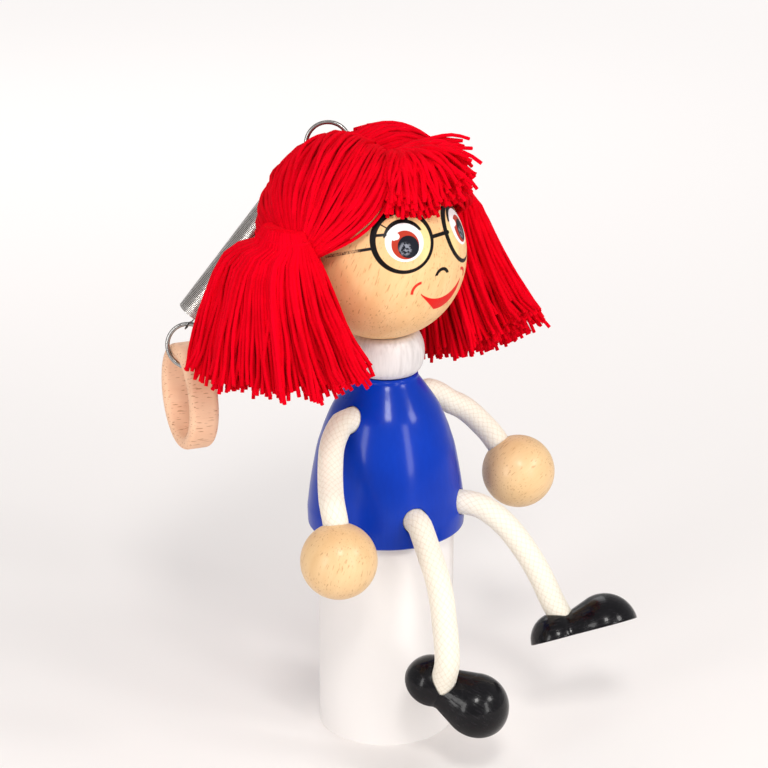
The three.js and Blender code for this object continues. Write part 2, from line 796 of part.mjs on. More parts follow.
for (const { name, sign } of sides) {
  const tie = onHead(tieShares, sign);
  const length = pigtailLengths[name];
  const face = faceEdge(sign);
  const nape = planeNormal(
    headCentre,
    onHead(tieBackShares, sign),
    onHead(napeShares, sign),
    up.clone().negate(),
  );
  const tieLine = headCentre.clone().setY(tie.y);
  const forward = new THREE.Vector3(0, -1, 0);
  const faceOpening = common(blockBeyond(face.parting, face.normal), blockBeyond(tieLine, forward));
  const napeOpening = common(blockBeyond(headCentre, nape), blockBeyond(tieLine, forward.clone().negate()));
  const partingPlace = headCentre.clone().setX((sign * seatGap) / 2);
  const otherSide = blockBeyond(partingPlace, new THREE.Vector3(-sign, 0, 0));
  const scalp = ball(scalpClear, headSegments, headRings).translate(...ballCentre.toArray());
  const { share: trimShare, rise } = pigtailTrims[name];
  const trim = blockBeyond(
    tie.clone().addScaledVector(up, -trimShare * length),
    new THREE.Vector3(0, -Math.sin(rise * degrees), -Math.cos(rise * degrees)),
  );
  add(
    name + "_hair",
    cut(
      padBlank(sign, 0),
      scalp,
      otherSide,
      faceOpening,
      napeOpening,
      pigtailGeometry(sign, length, tie, 2 * softGap),
      tieGeometry(tie, softGap),
      ...hangerClearances,
    ),
    redYarn,
  );
  const pigtail = pigtailGeometry(sign, length, tie, 0);
  add(name + "_pigtail", cut(pigtail, tieGeometry(tie, softGap), scalp, trim), redYarn);
  add(name + "_hair_tie", tieGeometry(tie, 0), redYarn);
}

// Fringe: a brush of yarn from the front of the parting, cut straight over the forehead
const fringeShares = [
  [0.2, 0],
  [0.45, 0.2],
  [0.72, 0.5],
  [0.92, 0.8],
  [1, 0.97],
  [0.7, 1.04],
];
const fringeRootShares = [0, -0.248, 1.279];
const fringeAzimuth = -98;
const fringeSlope = -16;
const fringeRoot = onHead(fringeRootShares, 1);
const fringeOut = new THREE.Vector3(
  Math.cos(fringeSlope * degrees) * Math.cos(fringeAzimuth * degrees),
  Math.cos(fringeSlope * degrees) * Math.sin(fringeAzimuth * degrees),
  Math.sin(fringeSlope * degrees),
);
const fringeSide = new THREE.Vector3().crossVectors(fringeOut, up).normalize();
const fringeProfile = fringeShares.map(([w, d]) => [(w * fringeWidth) / 2, d * fringeLength]);
const fringeTip = fringeProfile[fringeProfile.length - 1][1];
const fringeBlank = turned([[0, 0], ...fringeProfile, [0, fringeTip]], 24);
const fringePlaced = framed(
  fringeBlank.scale(1, fringeDepth / fringeWidth, 1),
  fringeSide,
  new THREE.Vector3().crossVectors(fringeOut, fringeSide),
  fringeOut,
  fringeRoot,
);
const hairClear = sides.map(({ sign }) => {
  const { parting, normal } = faceEdge(sign);
  return cut(padBlank(sign, softGap), blockBeyond(parting.clone().addScaledVector(normal, softGap), normal));
});
const scalpBelowFringe = ball(scalpClear, headSegments, headRings).translate(...ballCentre.toArray());
add("fringe", cut(fringePlaced, scalpBelowFringe, ...hairClear), redYarn);

export default puppet;
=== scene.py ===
import json
import math
import random

import bmesh
import bpy
from mathutils import Matrix, Vector, noise


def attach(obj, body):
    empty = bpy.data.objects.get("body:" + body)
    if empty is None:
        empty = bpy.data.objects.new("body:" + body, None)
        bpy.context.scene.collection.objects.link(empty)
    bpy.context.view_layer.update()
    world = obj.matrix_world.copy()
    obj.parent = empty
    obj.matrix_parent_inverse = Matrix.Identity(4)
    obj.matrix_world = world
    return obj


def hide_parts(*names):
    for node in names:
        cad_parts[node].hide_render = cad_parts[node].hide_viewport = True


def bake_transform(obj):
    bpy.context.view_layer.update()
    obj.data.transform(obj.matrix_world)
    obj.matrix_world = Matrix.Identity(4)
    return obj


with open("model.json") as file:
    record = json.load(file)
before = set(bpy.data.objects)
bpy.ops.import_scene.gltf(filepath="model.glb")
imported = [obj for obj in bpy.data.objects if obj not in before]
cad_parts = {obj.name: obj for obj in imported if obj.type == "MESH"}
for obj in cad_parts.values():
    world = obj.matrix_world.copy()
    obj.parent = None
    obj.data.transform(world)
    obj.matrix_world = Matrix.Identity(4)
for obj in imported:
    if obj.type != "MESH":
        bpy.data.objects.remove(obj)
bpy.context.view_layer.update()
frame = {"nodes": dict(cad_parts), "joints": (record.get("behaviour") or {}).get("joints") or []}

# ---------------------------------------------------------------- camera and light
# The photograph's view: 48 degrees to the doll's right of front and 20 degrees down, with a long lens.
camera = bpy.data.objects.new("camera", bpy.data.cameras.new("camera"))
bpy.context.scene.collection.objects.link(camera)
bpy.context.scene.camera = camera
camera.location = (-0.5936, -0.5336, 0.3407)
camera.rotation_euler = Vector((0.6983, 0.6288, -0.3420)).to_track_quat("-Z", "Y").to_euler()
camera.data.sensor_width = 36
camera.data.lens = 117.19
camera.data.clip_start = 0.01

bpy.context.scene.view_settings.view_transform = "Standard"

# Light: a soft lamp high over the camera, one on its right, a weak one behind, a pale world, and two tall
# narrow lamps whose reflections stand as upright streaks in the gloss paint.
world = bpy.data.worlds.new("studio")
bpy.context.scene.world = world
world.use_nodes = True
background = world.node_tree.nodes["Background"]
ray = world.node_tree.nodes.new("ShaderNodeLightPath")
level = world.node_tree.nodes.new("ShaderNodeMapRange")
level.inputs["To Min"].default_value = 0.5
level.inputs["To Max"].default_value = 0.97
world.node_tree.links.new(ray.outputs["Is Camera Ray"], level.inputs["Value"])
world.node_tree.links.new(level.outputs[0], background.inputs["Strength"])
background.inputs["Color"].default_value = (1.0, 0.985, 0.98, 1)

for place, width, height, power, colour in [
    ((-0.55, -0.60, 0.85), 0.22, 0.22, 4.2, (1, 0.98, 0.95)),
    ((0.25, -0.85, 0.60), 0.22, 0.22, 2.3, (1, 0.98, 0.96)),
    ((0.5, 0.7, 0.7), 0.6, 0.6, 2.6, (0.97, 0.98, 1)),
    ((-0.90, -0.03, 0.26), 0.16, 0.50, 2.0, (1, 0.99, 0.97)),
    ((-0.13, -0.89, 0.26), 0.16, 0.50, 2.0, (1, 0.99, 0.97)),
]:
    lamp = bpy.data.objects.new("lamp", bpy.data.lights.new("lamp", "AREA"))
    bpy.context.scene.collection.objects.link(lamp)
    lamp.data.shape = "RECTANGLE"
    lamp.data.size = width
    lamp.data.size_y = height
    lamp.data.energy = power
    lamp.data.color = colour
    lamp.location = place
    lamp.rotation_euler = (Vector((0, 0, 0.05)) - Vector(place)).to_track_quat("-Z", "Y").to_euler()


# ---------------------------------------------------------------- rope arms and legs
# Braided ecru cotton rope of 8.5 mm, glued into drilled holes in the body, the hands and the shoes.
# Each rope is a tube along its real route, which bends at the shoulder or hip and at its middle.
def linear(red, green, blue):
    """A colour as it is seen, 0 to 255, in the linear values that a shader takes."""
    return tuple(((c / 255 + 0.055) / 1.055) ** 2.4 if c > 10 else c / 3294.6 for c in (red, green, blue)) + (1.0,)


class Level:
    """A socket's value in a material. Sums and products of it add the Math nodes that work them out."""

    def __init__(self, finish, socket):
        self.finish = finish
        self.socket = socket

    def math(self, operation, *others):
        return self.finish.node("ShaderNodeMath", {"operation": operation}, dict(enumerate((self,) + others)))

    def vector_math(self, operation, *others, out=0):
        values = dict(enumerate((self,) + others))
        return self.finish.node("ShaderNodeVectorMath", {"operation": operation}, values, out)

    def __add__(self, other):
        return self.math("ADD", other)

    def __sub__(self, other):
        return self.math("SUBTRACT", other)

    def __rsub__(self, other):
        return self * -1 + other

    def __mul__(self, other):
        return self.math("MULTIPLY", other)

    def __truediv__(self, other):
        return self.math("DIVIDE", other)

    def __pow__(self, other):
        return self.math("POWER", other)

    __radd__ = __add__
    __rmul__ = __mul__

    def above(self, edge, soft):
        """0 under the edge and 1 over it, with a smooth step as wide as soft."""
        limits = {"From Min": edge - soft / 2, "From Max": edge + soft / 2}
        return self.finish.node("ShaderNodeMapRange", {"interpolation_type": "SMOOTHSTEP"}, {"Value": self, **limits})

    def below(self, edge, soft):
        return 1 - self.above(edge, soft)


class Finish:
    """A material with one principled shader. Plain numbers are set on its sockets by name."""

    def __init__(self, name, **numbers):
        self.material = bpy.data.materials.new(name)
        self.material.use_nodes = True
        self.tree = self.material.node_tree
        self.shader = self.tree.nodes["Principled BSDF"]
        for socket, number in numbers.items():
            self.shader.inputs[socket.replace("_", " ")].default_value = number

    def node(self, kind, settings=None, values=None, out=0):
        """A new node, with its settings and its sockets' numbers or links. Gives one of its outputs."""
        made = self.tree.nodes.new(kind)
        for key, setting in (settings or {}).items():
            setattr(made, key, setting)
        for key, value in (values or {}).items():
            if isinstance(value, Level):
                self.tree.links.new(value.socket, made.inputs[key])
            else:
                made.inputs[key].default_value = value
        return Level(self, made.outputs[out])

    def coordinates(self, output="Object"):
        return self.node("ShaderNodeTexCoord", out=output)

    def noise(self, vector, scale=1.0, detail=2.0, roughness=0.5):
        values = {"Vector": vector, "Scale": scale, "Detail": detail, "Roughness": roughness}
        return self.node("ShaderNodeTexNoise", {}, values)

    def mix(self, share, first, second):
        return self.node("ShaderNodeMix", {"data_type": "RGBA"}, {0: share, 6: first, 7: second}, 2)

    def bump(self, height, distance, strength=1.0):
        values = {"Height": height, "Distance": distance, "Strength": strength}
        self.feed("Normal", self.node("ShaderNodeBump", {}, values))

    def feed(self, socket, value):
        self.tree.links.new(value.socket, self.shader.inputs[socket])

    def on(self, piece):
        piece.data.materials.clear()
        piece.data.materials.append(self.material)


def piece_from(shape, name, smooth=True):
    """An object from a bmesh, with smooth faces and creases where they turn sharply."""
    mesh = bpy.data.meshes.new(name)
    shape.to_mesh(mesh)
    shape.free()
    piece = bpy.data.objects.new(name, mesh)
    bpy.context.scene.collection.objects.link(piece)
    if smooth:
        mesh.polygons.foreach_set("use_smooth", [True] * len(mesh.polygons))
        mesh.set_sharp_from_angle(angle=math.radians(40))
    return piece


def spline_points(knots, ends, steps):
    """Points on a smooth curve through knots. The ends hold the knots and one guide point past each end."""
    line = []
    for a, b, c, d in zip(ends, ends[1:], ends[2:], ends[3:]):
        for step in range(steps):
            t = step / steps
            line.append(0.5 * (2 * b + (c - a) * t + (2 * a - 5 * b + 4 * c - d) * t * t
                               + (3 * b - 3 * c + d - a) * t**3))
    line.append(knots[-1])
    return line


def smooth_path(points, count):
    """Evenly spaced points on a smooth curve through the given ones, all in mm, returned in metres."""
    knots = [Vector(p) / 1000 for p in points]
    fine = spline_points(knots, [2 * knots[0] - knots[1]] + knots + [2 * knots[-1] - knots[-2]], 24)
    reach = [0.0]
    for a, b in zip(fine, fine[1:]):
        reach.append(reach[-1] + (b - a).length)
    path = []
    at = 0
    for k in range(count):
        goal = reach[-1] * k / (count - 1)
        while at < len(fine) - 2 and reach[at + 1] < goal:
            at += 1
        share = (goal - reach[at]) / (reach[at + 1] - reach[at])
        path.append(fine[at].lerp(fine[at + 1], share))
    return path


def tube(path, radius, sides):
    """A closed tube along a path, made by drawing a disc along it. Its UVs are mm along and turns around."""
    shape = bmesh.new()
    uv = shape.loops.layers.uv.new("UVMap")
    along = shape.verts.layers.float.new("along")
    around = shape.verts.layers.float.new("around")
    heading = (path[1] - path[0]).normalized()
    turn = heading.to_track_quat("Z", "Y")
    place = Matrix.Translation(path[0]) @ turn.to_matrix().to_4x4()
    rim = bmesh.ops.create_circle(shape, cap_ends=True, segments=sides, radius=radius, matrix=place)["verts"]
    for k, vert in enumerate(rim):
        vert[around] = k / sides
    bmesh.ops.reverse_faces(shape, faces=shape.faces[:])
    edges = shape.edges[:]
    distance = 0.0
    for k in range(1, len(path)):
        drawn = bmesh.ops.extrude_edge_only(shape, edges=edges)["geom"]
        rim = [item for item in drawn if isinstance(item, bmesh.types.BMVert)]
        edges = [item for item in drawn if isinstance(item, bmesh.types.BMEdge)]
        step = path[k] - path[k - 1]
        distance += step.length
        ahead = (path[min(k + 1, len(path) - 1)] - path[k - 1]).normalized()
        swing = heading.rotation_difference(ahead)
        heading = ahead
        bmesh.ops.translate(shape, vec=step, verts=rim)
        bmesh.ops.rotate(shape, cent=path[k], matrix=swing.to_matrix(), verts=rim)
        for vert in rim:
            vert[along] = distance * 1000
    bmesh.ops.contextual_create(shape, geom=edges)
    bmesh.ops.recalc_face_normals(shape, faces=shape.faces[:])
    for face in shape.faces:
        wraps = max(vert[around] for vert in face.verts) > 0.75
        for loop in face.loops:
            share = loop.vert[around]
            loop[uv].uv = (loop.vert[along], share + 1 if wraps and share < 0.25 else share)
    return shape


rope_diameter = 0.0085
braid = Finish("braided cotton rope", Roughness=0.95, Sheen_Weight=0.25, Sheen_Roughness=0.5)
thread_place = braid.coordinates("UV").vector_math("MULTIPLY", (1 / 5.2, 6.0, 0))
split = braid.node("ShaderNodeSeparateXYZ", {}, {0: thread_place})
along_rope = split
around_rope = Level(braid, split.socket.node.outputs[1])
one_way = ((along_rope + around_rope) * math.tau).math("SINE")
other_way = ((along_rope - around_rope) * math.tau).math("SINE")
over = (one_way * other_way).above(0, 0.5)
lay_one = one_way.math("ABSOLUTE") ** 0.6
lay_other = other_way.math("ABSOLUTE") ** 0.6
plaits = lay_one * over + lay_other * (1 - over)
fuzz = braid.noise(braid.coordinates(), 2600, 3)
# Darker down between the raised plaits: painted shade in the braid's hollows, mixed with a fine fibre tone
plait_shade_and_fibre_tone = plaits.above(0.45, 0.9) * 0.6 + fuzz * 0.45
braid.feed("Base Color", braid.mix(plait_shade_and_fibre_tone, linear(222, 207, 184), linear(250, 244, 230)))
braid.bump(plaits * 0.7 + fuzz * 0.5, 0.00022, 0.6)

# Centre lines in mm, from the inner end of the body's hole to the end in the hand or the shoe
rope_routes = {
    "right_arm": [
        (-10, 0, 42), (-14.5, 0, 42), (-19.6, 0, 42), (-22.4, 0, 41.7), (-26.6, -0.9, 38.6),
        (-30.2, -2.7, 35.3), (-34.6, -6.3, 31), (-38.4, -9.9, 27.6), (-42.2, -13.8, 25), (-44.9, -17.1, 22.8),
        (-45.47, -18.7, 18.97), (-46.4, -20, 14.8), (-47.2, -21.3, 10.9),
    ],
    "left_arm": [
        (10, 0, 42), (14.5, 0, 42), (19.6, 0, 42), (22.4, -0.1, 41.8), (26.3, -1.4, 39.6), (29.8, -3.2, 36.6),
        (33.3, -5.4, 34.3), (36, -8.3, 31.2), (37.7, -12, 27.6), (38.4, -14.7, 25.2), (39.1, -17.1, 22.35),
        (39.96, -19.9, 18.9), (40.75, -22.5, 15.8),
    ],
    "right_leg": [
        (-6.7, -13.8, 10), (-9.3, -19, 10), (-11.9, -24.4, 10), (-13.3, -27.3, 9.5), (-16.3, -33.5, 4),
        (-19.7, -40.4, -2.6), (-21.5, -44.2, -9.2), (-22.5, -46.2, -15.9), (-23.4, -48, -22.5),
        (-23.8, -48.7, -27), (-23.6, -48.5, -31.1), (-22.8, -46.8, -35.7), (-22.3, -45.8, -38.4),
        (-21.9, -44.8, -41),
    ],
    "left_leg": [
        (6.7, -13.8, 10), (9.3, -19, 10), (11.9, -24.4, 10), (13.5, -27.7, 9.8), (15.4, -31.6, 8.6),
        (18.2, -37.3, 4.2), (20.6, -42.3, -1.8), (22.9, -47.1, -9.3), (24.7, -50.8, -16.8),
        (25.9, -53.3, -22.6), (27, -55.5, -27), (27.6, -56.8, -29.7), (28.2, -58.1, -32.1),
    ],
}
# The body at each rope's far end, and the start and end of the stretch between the two bodies; they are read below
# but not used
rope_bends = {
    "right_arm": ("right_hand_ball", (-26.6, -0.9, 38.6), (-44.9, -17.1, 22.8)),
    "left_arm": ("left_hand_ball", (26.3, -1.4, 39.6), (38.4, -14.7, 25.2)),
    "right_leg": ("right_foot", (-15, -31, 6.2), (-22.7, -46.6, -17.5)),
    "left_leg": ("left_foot", (15.4, -31.6, 8.6), (23.4, -48.1, -11)),
}
for limb, points in rope_routes.items():
    path = smooth_path(points, 36)
    rope = piece_from(tube(path, rope_diameter / 2, 24), limb + "_braid")
    braid.on(rope)
    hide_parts(limb + "_rope")
    length = sum((b - a).length for a, b in zip(path, path[1:]))
    end_body, start, end = rope_bends[limb]
    tuple(c / 1000 for c in start)
    tuple(c / 1000 for c in end)
    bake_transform(rope)


# ---------------------------------------------------------------- body
# A turned beech bell, 55 mm high and 54 mm across, sprayed in gloss blue over a little of the grain.
# Four drilled holes take the ropes. Outlines here and in the next sections are (radius, height) in mm.
def spun(profile, steps, closed_axis=True):
    """A turned shape about Z from its outline of (radius, height) in metres, drawn round in even steps."""
    shape = bmesh.new()
    verts = [shape.verts.new((radius, 0, height)) for radius, height in profile]
    edges = [shape.edges.new(pair) for pair in zip(verts, verts[1:])]
    if not closed_axis:
        edges.append(shape.edges.new((verts[-1], verts[0])))
    bmesh.ops.spin(shape, geom=verts + edges, cent=(0, 0, 0), axis=(0, 0, 1), angle=math.tau, steps=steps,
                   use_merge=True, dvec=(0, 0, 0))
    bmesh.ops.remove_doubles(shape, verts=shape.verts[:], dist=1e-6)
    bmesh.ops.recalc_face_normals(shape, faces=shape.faces[:])
    return shape


def curve_through(points, steps):
    """Points on a smooth line through outline points of (radius, height), in the same unit."""
    knots = [Vector(p) for p in points]
    return [tuple(p) for p in spline_points(knots, [knots[0]] + knots + [knots[-1]], steps)]


def turned_to(place, direction):
    """The move that stands a shape built about Z at a place, along a direction."""
    return Matrix.Translation(place) @ direction.to_track_quat("Z", "Y").to_matrix().to_4x4()


def drill(piece, cutters):
    """Cuts drilled holes into a piece. Each cutter is a mouth, a direction out, a depth and a radius, in mm."""
    clearance = 6
    bits = bmesh.new()
    for mouth, out, depth, radius in cutters:
        out = Vector(out).normalized()
        middle = (Vector(mouth) + out * (clearance - depth) / 2) / 1000
        bmesh.ops.create_cone(bits, cap_ends=True, segments=40, radius1=radius / 1000, radius2=radius / 1000,
                              depth=(depth + clearance) / 1000, matrix=turned_to(middle, out))
    tool = piece_from(bits, piece.name + "_drill")
    cut = piece.modifiers.new("holes", "BOOLEAN")
    cut.object = tool
    cut.operation = "DIFFERENCE"
    cut.solver = "EXACT"
    bpy.context.view_layer.update()
    drilled = bpy.data.meshes.new_from_object(piece.evaluated_get(bpy.context.evaluated_depsgraph_get()))
    piece.modifiers.clear()
    piece.data = drilled
    drilled.polygons.foreach_set("use_smooth", [True] * len(drilled.polygons))
    drilled.set_sharp_from_angle(angle=math.radians(40))
    bpy.data.objects.remove(tool)


bell = [(26.2, 0), (26.85, 0.6), (27.0, 1.6), (27.15, 6), (26.9, 8.5), (26.3, 13.5), (25.5, 18.6), (23.8, 27.7),
        (22.2, 33), (21, 36.5), (18.4, 42.6), (15, 47.9), (11.4, 53), (10.9, 54.3), (10.3, 55)]
bell_outline = [(0, 0)] + curve_through(bell, 5) + [(0, 55)]
body = piece_from(spun([(r / 1000, z / 1000) for r, z in bell_outline], 128), "blue_body")
hip = Vector((math.sin(math.radians(26)), -math.cos(math.radians(26)), 0))
hole_radius, arm_hole_depth, leg_hole_depth = 4.55, 9.8, 12.5
drill(body, [((side * 19.6, 0, 42), (side, 0, 0), arm_hole_depth, hole_radius) for side in (-1, 1)]
      + [((side * hip.x * 27.1, hip.y * 27.1, 10), (side * hip.x, hip.y, 0), leg_hole_depth, hole_radius)
         for side in (-1, 1)])
blue = Finish("gloss blue paint", Roughness=0.3, Specular_IOR_Level=0.08, Coat_Weight=0.28, Coat_Roughness=0.13)
cells = blue.noise(blue.coordinates().vector_math("MULTIPLY", (900, 900, 90)), 1, 3)
mottle = blue.noise(blue.coordinates(), 55, 3)
blue.feed("Base Color", blue.mix(mottle * 0.7 + cells * 0.3, linear(0, 42, 150), linear(0, 60, 188)))
blue.feed("Roughness", mottle * 0.16 + 0.22)
blue.bump(cells * 0.6 + mottle, 0.00006, 0.5)
blue.on(body)
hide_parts("body")
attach(body, "figure")

# ---------------------------------------------------------------- collar and neck dowel
# A flattened white bead of 26 mm between the body and the head, with a faint turned grain under the paint.
# The dowel that joins the three is glued inside and doesn't show.
collar_line = [(4.3, 55.3), (9.9, 55.3), (10.9, 55.7), (12.1, 57.2), (12.85, 59.4), (13.1, 61.9), (13.0, 64.2),
               (12.5, 66.4), (11.6, 68.3), (10.6, 69.2), (9.8, 69.45), (4.3, 69.45)]
collar_outline = collar_line[:2] + curve_through(collar_line[2:-1], 5) + [collar_line[-1]]
collar = piece_from(spun([(r / 1000, z / 1000) for r, z in collar_outline], 96, closed_axis=False), "white_collar")
white = Finish("satin white paint", Roughness=0.4, Coat_Weight=0.2, Coat_Roughness=0.2)
streaks = white.noise(white.coordinates().vector_math("MULTIPLY", (700, 700, 60)), 1, 3)
white.feed("Base Color", white.mix(streaks.above(0.55, 0.4), linear(226, 221, 221), linear(204, 198, 198)))
white.bump(streaks, 0.00008, 0.5)
white.on(collar)
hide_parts("collar")
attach(collar, "figure")


def beech(name, grain, pale, dark, fleck, flecks=0.6, **numbers):
    """Varnished beech: soft growth bands, fine fibres and short dark flecks along the grain direction."""
    wood = Finish(name, **numbers)
    turn = Vector(grain).to_track_quat("Z", "Y").inverted().to_euler()
    place = wood.node("ShaderNodeMapping", {}, {"Vector": wood.coordinates(), "Rotation": turn})
    warp = wood.noise(place, 30, 2)
    bands = wood.noise(place.vector_math("MULTIPLY", (160, 160, 14)), 1, 3, 0.6)
    fibres = wood.noise(place.vector_math("MULTIPLY", (1900, 1900, 160)), 1, 3, 0.6)
    dashes = wood.noise(place.vector_math("MULTIPLY", (1800, 1800, 300)), 1, 1, 0.4)
    marks = dashes.above(0.66, 0.07) * flecks
    colour = wood.mix((bands * 0.75 + warp * 0.25).above(0.5, 0.5), pale, dark)
    colour = wood.mix(fibres.above(0.52, 0.4) * 0.3, colour, dark)
    colour = wood.mix(marks, colour, fleck)
    wood.bump(fibres * 0.6 - marks, 0.00008, 0.5)
    return wood, colour


dowel = frame["nodes"]["neck_dowel"]
dowel_wood, dowel_colour = beech("dowel beech", (0, 0, 1), linear(238, 200, 152), linear(226, 180, 128),
                                 linear(190, 135, 85))
dowel_wood.feed("Base Color", dowel_colour)
for material_slot in dowel.material_slots:
    material_slot.material = dowel_wood.material

# ---------------------------------------------------------------- head
# A 57 mm beech ball, clear varnished, on which the face is painted: round black glasses, two looking eyes,
# a nose line and a red smile. A flat below seats it on the collar, a little off the dowel's axis.
head_centre = Vector((-0.00103, 0.00114, 0.09644))
head_radius = 0.0285
head_flat = 0.06975
skull = bmesh.new()
bmesh.ops.create_uvsphere(skull, u_segments=144, v_segments=96, radius=head_radius,
                          matrix=Matrix.Translation(head_centre))
seat = bmesh.ops.bisect_plane(skull, geom=skull.verts[:] + skull.edges[:] + skull.faces[:], dist=1e-6,
                              plane_co=(0, 0, head_flat), plane_no=(0, 0, -1), clear_outer=True)
bmesh.ops.contextual_create(skull, geom=[item for item in seat["geom_cut"] if isinstance(item, bmesh.types.BMEdge)])
head = piece_from(skull, "painted_head")
face, wood_colour = beech("painted beech head", (0.25, -0.3, 1), linear(248, 207, 154), linear(236, 186, 130),
                          linear(186, 128, 78), 0.55, Roughness=0.45, Specular_IOR_Level=0.12, Coat_Weight=0.03,
                          Coat_Roughness=0.15)


def facing(azimuth, elevation):
    """The direction out of the head at an azimuth from the front and an elevation, in degrees."""
    azimuth, elevation = math.radians(azimuth), math.radians(elevation)
    level_part = math.cos(elevation)
    return Vector((level_part * math.sin(azimuth), -level_part * math.cos(azimuth), math.sin(elevation)))


class Brush:
    """Painting on the head, in mm right and up of a middle on it, as one sees the face."""

    def __init__(self, azimuth, elevation):
        out = facing(azimuth, elevation)
        right = Vector((math.cos(math.radians(azimuth)), math.sin(math.radians(azimuth)), 0))
        place = face.coordinates().vector_math("SUBTRACT", tuple(head_centre))
        place = place.vector_math("SCALE")
        place.socket.node.inputs["Scale"].default_value = 1000
        self.x = place.vector_math("DOT_PRODUCT", tuple(right), out="Value")
        self.y = place.vector_math("DOT_PRODUCT", tuple(out.cross(right)), out="Value")
        self.near = place.vector_math("DOT_PRODUCT", tuple(out), out="Value").above(8, 4)

    def from_point(self, x, y):
        return ((self.x - x) ** 2 + (self.y - y) ** 2) ** 0.5

    def disc(self, x, y, radius, soft=0.22):
        return self.from_point(x, y).below(radius, soft) * self.near

    def arc(self, x, y, radius, width):
        """A ring's line. A width may be a level that changes along it."""
        off = (self.from_point(x, y) - radius).math("ABSOLUTE")
        return (off - width / 2).below(0, 0.2) * self.near

    def stroke(self, start, end, width):
        start, end = Vector(start), Vector(end)
        run = end - start
        length = run.length
        run = run / length
        dx, dy = self.x - start.x, self.y - start.y
        along = dx * run.x + dy * run.y
        beyond = (along * -1).math("MAXIMUM", 0).math("MAXIMUM", along - length)
        across = (dx * run.y - dy * run.x).math("ABSOLUTE")
        off = (beyond**2 + across**2) ** 0.5
        return off.below(width / 2, 0.2) * self.near


ink = linear(12, 9, 11)
painted = wood_colour
# Each glass's middle on the ball, in degrees, and the eyeball's middle beside it, in mm
for side, azimuth, elevation, ball_x, ball_y in ((-1, -32.0, 25.2, 0.42, -0.5), (1, 28.0, 21.2, 0.6, 1.4)):
    eye = Brush(azimuth, elevation)
    inner = -side
    # Lens: a little yellow on the side of the nose
    tint = eye.disc(0.6 * inner, -0.3, 9.6) * (eye.x * inner).above(5.8, 4.0) * 0.55
    painted = face.mix(tint, painted, linear(246, 230, 160))
    # Eyeball, iris, pupil with a grey glint that is a painted reflection, and highlight
    painted = face.mix(eye.disc(ball_x, ball_y, 6.5), painted, linear(246, 244, 246))
    painted = face.mix(eye.disc(ball_x + 0.15, ball_y - 1.05, 4.7), painted, linear(182, 54, 34))
    painted = face.mix(eye.disc(ball_x + 1.1, ball_y - 1.75, 3.65), painted, linear(10, 14, 28))
    # A painted reflection on the glossy pupil: a soft grey patch, broken up by noise
    reflection_breakup = face.noise(face.coordinates(), 900, 2).above(0.5, 0.15)
    painted_pupil_reflection = eye.disc(ball_x - 0.1, ball_y - 2.4, 2.0, soft=1.2) * reflection_breakup * 0.6
    painted = face.mix(painted_pupil_reflection, painted, linear(168, 172, 186))
    highlight = eye.disc(ball_x - 2.7, ball_y + 1.9, 1.15).math("MAXIMUM", eye.disc(ball_x - 3.5, ball_y + 1.3, 0.7))
    painted = face.mix(highlight, painted, linear(250, 248, 246))
    # Upper lid, thick over the middle, and three lashes on the outer side
    lid_width = ((eye.y - ball_y) / 6.6).math("MAXIMUM", 0) ** 0.6 * 1.4
    above_eye = (eye.y - eye.x * 0.13 * inner).above(ball_y + 2.6, 0.6)
    painted = face.mix(eye.arc(ball_x, ball_y, 6.8, lid_width) * above_eye, painted, ink)
    for start, end, width in [
        ((ball_x - 6.1 * inner, ball_y + 2.8), (ball_x - 9.4 * inner, ball_y + 2.9), 1.0),
        ((ball_x - 4.9 * inner, ball_y + 4.6), (ball_x - 6.9 * inner, ball_y + 6.2), 0.45),
        ((ball_x + 1.8 * inner, ball_y + 6.8), (ball_x + 0.9 * inner, ball_y + 9.8), 0.95),
    ]:
        painted = face.mix(eye.stroke(start, end, width) * eye.disc(0, 0, 10.2), painted, ink)
    # Glasses: a black ring, thicker on its left and above
    rim = eye.disc(0, 0, 10.75) * (1 - eye.disc(0.3, -0.4, 9.2))
    painted = face.mix(rim, painted, ink)

# Bridge and temple lines of the glasses
bridge = Brush(-7.2, 23.0)
painted = face.mix(bridge.stroke((-0.6, 0.8), (7.2, 1.1), 1.3), painted, ink)
for azimuth, side in ((-70, -1), (66, 1)):
    temple = Brush(azimuth, 15.5)
    worn = face.noise(face.coordinates(), 1500, 2).above(0.45, 0.3) * (temple.x * side).above(-2.5, 4.0)
    line = temple.stroke((side * 8.5, -1.7), (side * -6.8, 2.45), 1.0)
    painted = face.mix(line * (1 - worn * 0.7), painted, linear(26, 24, 28))

# Nose: a small bent line
nose = Brush(-9.3, -2.6)
nose_line = nose.arc(2.7, -0.4, 2.75, 1.15) * nose.y.above(0.5, 0.4)
painted = face.mix(nose_line, painted, ink)

# Smile: a red crescent, cut off at its left end, and a cheek mark beside each end
smile = Brush(-9.0, -14.0)
crescent = smile.disc(3.9, 2.6, 9.7) * (1 - smile.disc(3.6, 12.0, 14.5)) * (smile.x + smile.y).above(-5.3, 0.4)
painted = face.mix(crescent, painted, linear(222, 24, 18))
for side in (-1, 1):
    cheek_middle = 3.6 + side * 8.9
    cheek = smile.arc(cheek_middle, 1.2, 3.45, 0.95) * (smile.x * side).above(cheek_middle * side + 0.4, 0.5)
    painted = face.mix(cheek * smile.y.above(0.6, 0.5), painted, linear(214, 44, 30))
face.feed("Base Color", painted)
face.on(head)
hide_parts("head")
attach(head, "figure")

